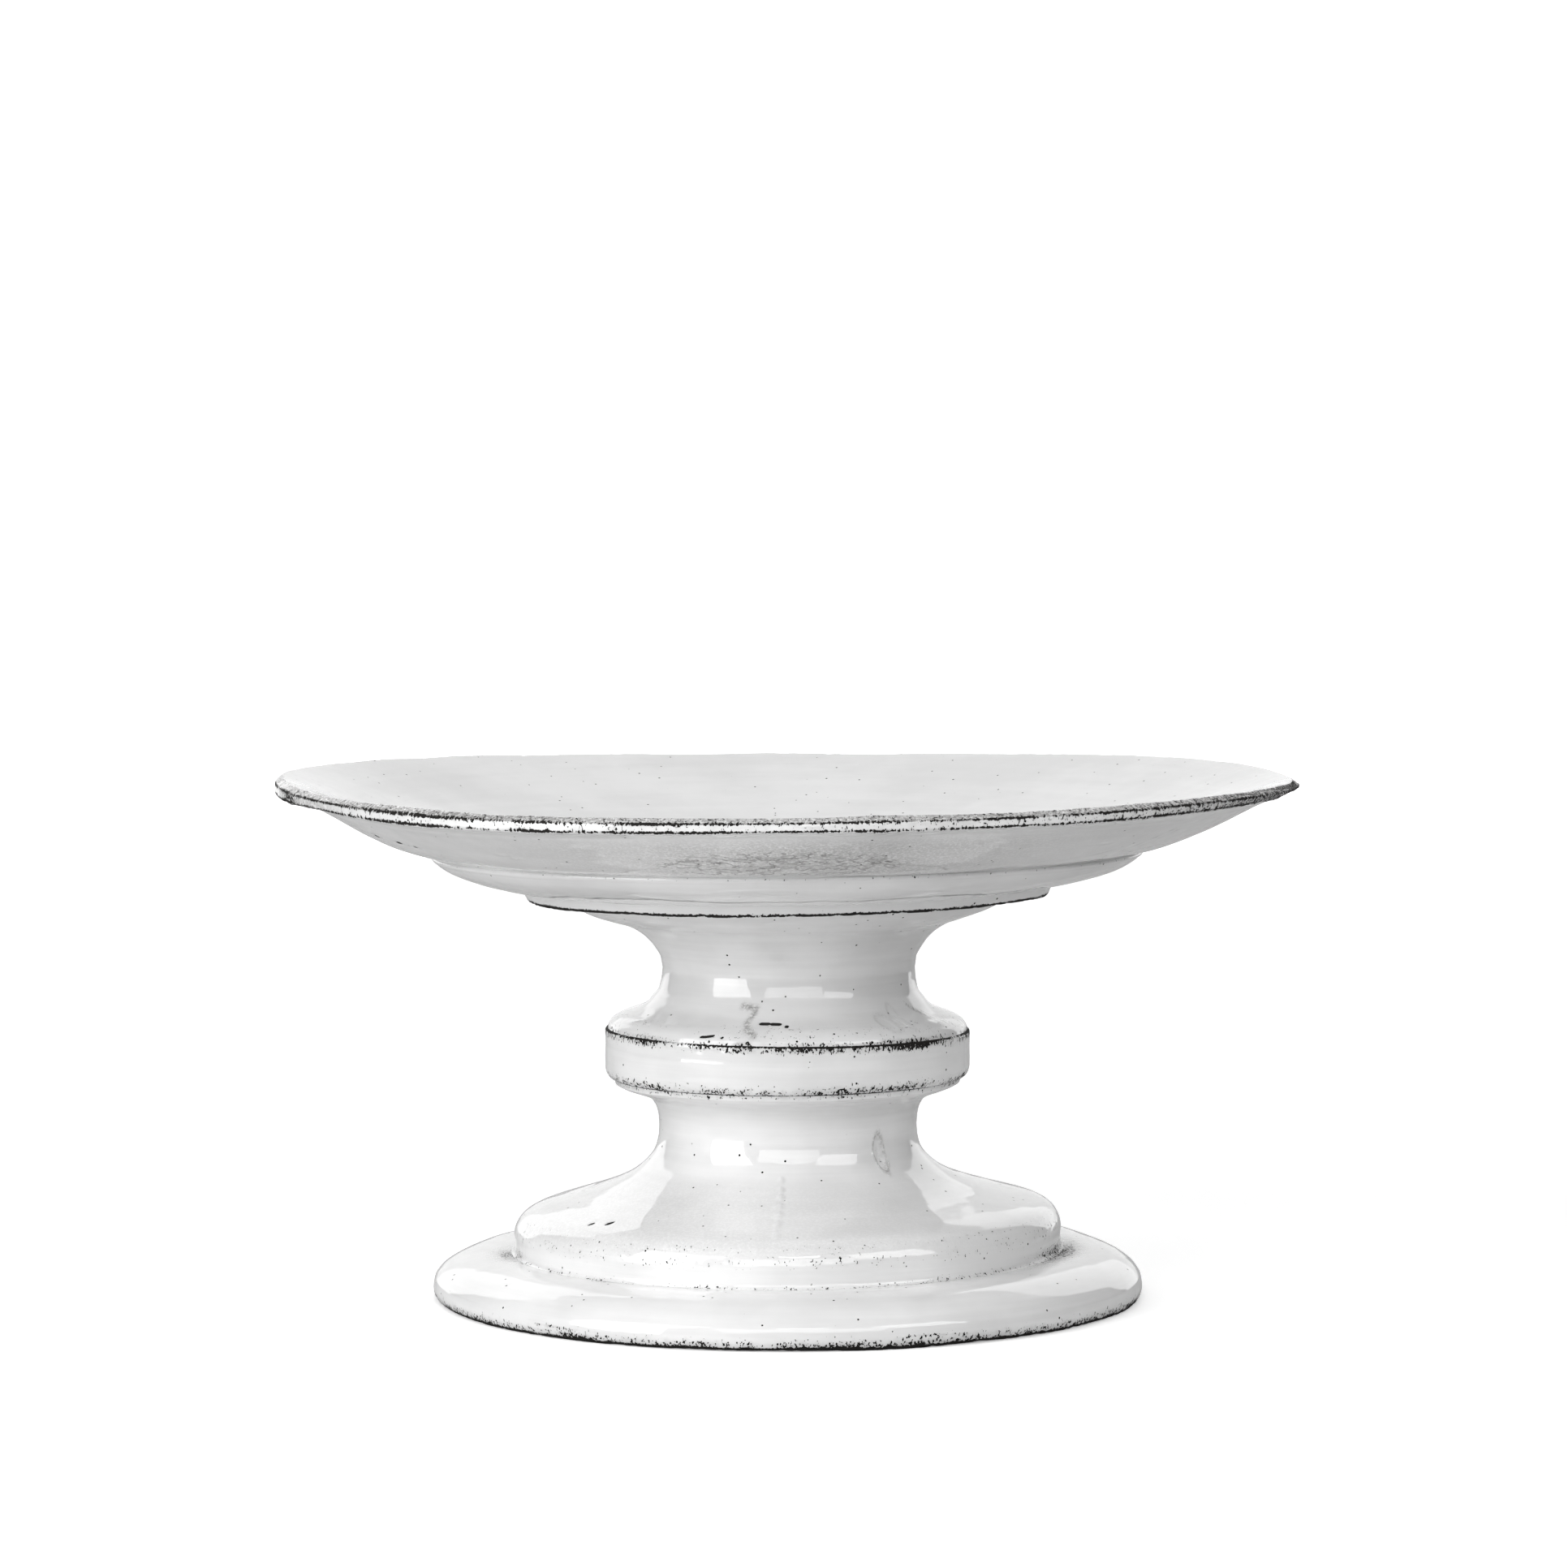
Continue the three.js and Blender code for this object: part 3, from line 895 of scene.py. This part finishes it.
MILK_WHITE = (0.86, 0.86, 0.86, 1)
MILK_SHADE = (0.76, 0.76, 0.76, 1)
THIN_GLAZE = (0.31, 0.305, 0.3, 1)
DARK_CLAY = (0.012, 0.011, 0.010, 1)
DRY_CLAY = (0.075, 0.062, 0.052, 1)
GLAZE_IOR = 1.72
GLAZE_SHINE, CLAY_SHINE = 0.5, 0.12
GLAZE_ROUGHNESS = (0.02, 0.045)  # at its smoothest and its dullest
CRUST_ROUGHNESS = 0.15  # what crust adds to it
CLAY_ROUGHNESS = 0.8
SLIP_ROUGHNESS = (0.78, 0.95)

# How many bumps a metre each noise has. Three numbers stretch it along x, y and z.
CLOUDS = 22
STREAKS = (14, 14, 420)
TICKS = (1500, 1500, 950)
BLOTS = 420
PINHOLES = 300
SQUIGGLES = (210, 210, 520)
CRUMBS = 1150
LUMPS_IN_GLAZE = 95
ORANGE_PEEL = 620
SLIP_GRAIN = 900
SLIP_PATCHES = 160

# How far the ticks and the blots swing the wear that makes a speck.
TICK_SWING, BLOT_SWING = 3.2, 0.9
# Where each kind of mark begins and is full. The nearer the two numbers, the crisper its edge.
SPECK_EDGE = (0.77, 0.83)
CRUST_EDGE = (0.74, 0.8)
SLIT_EDGE = (0.35, 0.5)
PINHOLE_EDGE = (0.11, 0.075)
CHOSEN_PINHOLES = (0.7, 0.71)
WIPED_LINE_EDGE = (0.05, 0.02)
# How much of the thin glaze's grey each mark lets through.
THIN_GREY, WIPED_GREY, CRUST_GREY = 0.45, 0.95, 0.25


def milky_white(g, clouds):
    """The glaze's own white, a little greyer in clouds and wheel streaks."""
    streaks = g.noise(1, 3, 0.6, g.stretched(STREAKS))
    shade = g.plus(clouds, g.times(streaks, 0.4))
    return g.blend(g.ramp(shade, 0.5, 0.9), MILK_WHITE, MILK_SHADE)


def worn_specks(g):
    """Crisp specks that crowd together as the wear grows, and how thin the glaze is round them."""
    worn = g.mark("worn")
    grain = g.swing(g.noise(1, 2, 0.6, g.stretched(TICKS)), TICK_SWING)
    clumps = g.swing(g.noise(BLOTS), BLOT_SWING)
    level = g.plus(worn, g.plus(grain, clumps))
    specks = g.times(g.ramp(level, *SPECK_EDGE), g.ramp(worn, 0.04, 0.12))
    thin = g.times(g.ramp(g.plus(worn, clumps), 0.15, 1.1), THIN_GREY)
    return specks, thin


def pinholes(g):
    """Tiny dark holes, scattered thinly over the glaze."""
    cells = g.node("ShaderNodeTexVoronoi")
    g.join(g.place, cells.inputs["Vector"])
    cells.inputs["Scale"].default_value = PINHOLES
    chosen = g.ramp(g.red(cells.outputs["Color"]), *CHOSEN_PINHOLES)
    return g.times(g.ramp(cells.outputs["Distance"], *PINHOLE_EDGE), chosen)


def squiggles(g):
    """Thin, looped lines where the wet glaze was wiped."""
    loops = g.noise(1, 2, 0.5, g.stretched(SQUIGGLES))
    off_line = g.math("ABSOLUTE", g.math("SUBTRACT", loops, 0.5))
    return g.times(g.ramp(off_line, *WIPED_LINE_EDGE), g.ramp(g.mark("wiped"), 0.15, 0.45))


def glaze_surface(g, lines, crumbs, dark):
    """The normal: soft lumps, orange peel, wiped lines, grit in the crust, and pits in the clay."""
    lumps = g.bump(g.noise(LUMPS_IN_GLAZE), 0.25, 0.25 * MM)
    peel = g.bump(g.noise(ORANGE_PEEL), 0.06, 0.08 * MM, lumps)
    wiped = g.bump(g.times(lines, -1.0), 0.7, 0.2 * MM, peel)
    grit = g.bump(g.times(crumbs, g.mark("crust")), 0.9, 0.8 * MM, wiped)
    return g.bump(g.math("SUBTRACT", 1.0, dark), 0.8, 0.3 * MM, grit)


def glaze():
    """Milky gloss glaze over dark clay: clouds and wheel streaks in its white, pinholes, dark specks
    that crowd along the worn edges, slits where it crawled, and gritty bare clay under the foot."""
    g = Graph("milky_glaze")
    clouds = g.noise(CLOUDS, 4, 0.55)
    specks, thin = worn_specks(g)
    lines = squiggles(g)
    crust = g.mark("crust")
    crumbs = g.noise(CRUMBS, 3, 0.7)

    grey = g.plus(thin, g.times(lines, WIPED_GREY))
    # The stain mark greys the glaze: real stains, and on the dome painted shade and painted reflection.
    grey = g.plus(grey, g.times(g.mark("stain_and_shade"), g.ramp(crumbs, 0.3, 0.6)), True)
    grey = g.plus(grey, g.times(crust, CRUST_GREY), True)
    thinned = g.blend(grey, milky_white(g, clouds), THIN_GLAZE)

    crust_specks = g.ramp(g.plus(g.times(crust, 0.32), crumbs), *CRUST_EDGE)
    slit = g.ramp(g.mark("slit"), *SLIT_EDGE)
    dark = g.either(g.either(specks, pinholes(g)), g.either(slit, g.mark("bare")))
    dark = g.either(dark, crust_specks, True)
    gloss = g.plus(g.ramp(clouds, 0.3, 0.7, *GLAZE_ROUGHNESS), g.times(crust, CRUST_ROUGHNESS))

    g.join(g.blend(dark, thinned, DARK_CLAY), g.shader.inputs["Base Color"])
    g.join(g.blend(dark, gloss, CLAY_ROUGHNESS, "FLOAT"), g.shader.inputs["Roughness"])
    g.join(g.blend(dark, GLAZE_SHINE, CLAY_SHINE, "FLOAT"), g.shader.inputs["Specular IOR Level"])
    g.shader.inputs["IOR"].default_value = GLAZE_IOR
    g.join(glaze_surface(g, lines, crumbs, dark), g.shader.inputs["Normal"])
    return g.material


def dried_slip():
    """Matt dark slip, crumbly where it was squeezed out."""
    g = Graph("dried_slip")
    grain = g.noise(SLIP_GRAIN, 4, 0.65)
    patches = g.ramp(g.noise(SLIP_PATCHES), 0.35, 0.65)
    g.join(g.blend(patches, DARK_CLAY, DRY_CLAY), g.shader.inputs["Base Color"])
    g.join(g.ramp(grain, 0.3, 0.7, *SLIP_ROUGHNESS), g.shader.inputs["Roughness"])
    g.join(g.bump(grain, 0.8, 0.4 * MM), g.shader.inputs["Normal"])
    return g.material


CARD_WHITE = (0.62, 0.62, 0.62, 1)
PURE_WHITE = (1, 1, 1, 1)
CAMERA_GLOW = 0.35
CARD_ROUGHNESS, CARD_SHINE = 0.9, 0.1


def white_card(name, glow):
    """Matt white card that gives off a little light, and shows pure white to the camera, as a
    brightly lit white background does. A soft shadow still shows on it."""
    g = Graph(name)
    seen = g.node("ShaderNodeLightPath").outputs["Is Camera Ray"]
    g.join(g.blend(seen, CARD_WHITE, PURE_WHITE), g.shader.inputs["Base Color"])
    g.shader.inputs["Roughness"].default_value = CARD_ROUGHNESS
    g.shader.inputs["Specular IOR Level"].default_value = CARD_SHINE
    g.shader.inputs["Emission Color"].default_value = PURE_WHITE
    g.join(g.plus(g.times(seen, CAMERA_GLOW), glow), g.shader.inputs["Emission Strength"])
    return g.material


# ---- The room ------------------------------------------------------------------------------------

CAMERA_AWAY = 1511.0
CAMERA_UP = 240.35
CAMERA_SIDE = -1.0
AIM_UP = 151.0
LENS = 118.25
SENSOR = 36.0
CAMERA_REACH = 20000.0


def camera():
    """A long lens, a little above the rim, from the front."""
    data = bpy.data.cameras.new("camera")
    data.lens = LENS
    data.sensor_width = SENSOR
    data.clip_end = CAMERA_REACH * MM
    made = bpy.data.objects.new("camera", data)
    made.location = Vector((CAMERA_SIDE, -CAMERA_AWAY, CAMERA_UP)) * MM
    aim = Vector((CAMERA_SIDE, 0, AIM_UP)) * MM
    made.rotation_euler = (aim - made.location).to_track_quat("-Z", "Y").to_euler()
    bpy.context.scene.collection.objects.link(made)
    bpy.context.scene.camera = made


def direction(turn, lift):
    """The unit vector at an azimuth and an elevation, both in degrees."""
    side, rise = math.radians(turn), math.radians(lift)
    return Vector((math.sin(side) * math.cos(rise), -math.cos(side) * math.cos(rise), math.sin(rise)))


STAND_MIDDLE = Vector((0, 0, 90))


def softbox(name, turn, lift, away, width, height, radiance):
    """A rectangular light that faces the stand's middle. radiance is how bright its face looks."""
    data = bpy.data.lights.new(name, "AREA")
    data.shape = "RECTANGLE"
    data.size = width * MM
    data.size_y = height * MM
    data.energy = radiance * math.pi * data.size * data.size_y
    made = bpy.data.objects.new(name, data)
    made.location = (STAND_MIDDLE + direction(turn, lift) * away) * MM
    made.rotation_euler = (-direction(turn, lift)).to_track_quat("-Z", "Y").to_euler()
    made.visible_camera = False
    bpy.context.scene.collection.objects.link(made)


def card(name, corners, material):
    """A flat card that belongs to the stage."""
    mesh = bpy.data.meshes.new(name)
    mesh.from_pydata([Vector(corner) * MM for corner in corners], [], [(0, 1, 2, 3)])
    mesh.materials.append(material)
    made = bpy.data.objects.new(name, mesh)
    bpy.context.scene.collection.objects.link(made)


TABLE_HALF_WIDTH = 3000
TABLE_FRONT_Y = -3000
WALL_Y = 1750
WALL_HALF_WIDTH = 1600
WALL_TOP_Z = 2000
WALL_GLOW = 0.68


def backdrop():
    """White table, and a bright white wall behind the stand."""
    side, front, back = TABLE_HALF_WIDTH, TABLE_FRONT_Y, WALL_Y
    table = [(-side, front, 0), (side, front, 0), (side, back, 0), (-side, back, 0)]
    card("table", table, white_card("table_white", 0.0))
    side, top = WALL_HALF_WIDTH, WALL_TOP_Z
    wall = [(-side, back, 0), (side, back, 0), (side, back, top), (-side, back, top)]
    card("wall", wall, white_card("wall_white", WALL_GLOW))


# Each softbox's azimuth, elevation, distance, width, height and radiance. The three front panels
# lie in one another, so the panel they make is brighter towards its middle.
SOFTBOXES = (
    ("key", -54, 23, 1200, 780, 1180, 3.65),
    ("key_foot", -62, 5, 1200, 760, 400, 0.7),
    ("front_outer", 4, 22, 1600, 1500, 800, 1.75),
    ("front_middle", 4, 22, 1600, 1080, 576, 1.75),
    ("front_inner", 4, 22, 1600, 660, 352, 1.75),
    ("right_front", 48, 32, 1500, 800, 800, 2.5),
    ("overhead", 180, 78, 1400, 1200, 800, 0.9),
    ("back_left", -152.5, 23, 1750, 970, 1670, 0.5),
    ("back_right", 152.5, 23, 1750, 970, 1670, 0.5),
    ("catch_light", 5, 45, 1300, 290, 170, 5),
)
ROOM_GLOW = 0.1


def room():
    """Plain soft studio light round a white table."""
    backdrop()
    for name, *light in SOFTBOXES:
        softbox(name, *light)
    world = bpy.data.worlds.new("dim_room")
    world.use_nodes = True
    background = world.node_tree.nodes["Background"]
    background.inputs["Color"].default_value = PURE_WHITE
    background.inputs["Strength"].default_value = ROOM_GLOW
    bpy.context.scene.world = world
    bpy.context.scene.view_settings.view_transform = "Standard"


# ---- Putting it together -------------------------------------------------------------------------


def finish_piece(piece, material):
    """Gives a piece its material."""
    piece.data.materials.clear()
    piece.data.materials.append(material)


camera()
room()
milky_glaze = glaze()
for make in (base_flange, lower_stem, collar, upper_stem, plate_foot_ring, plate):
    finish_piece(make(), milky_glaze)
slip = dried_slip()
for slip_node in sorted(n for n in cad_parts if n.startswith("slip_joint")):
    finish_piece(slip_bead(slip_node), slip)
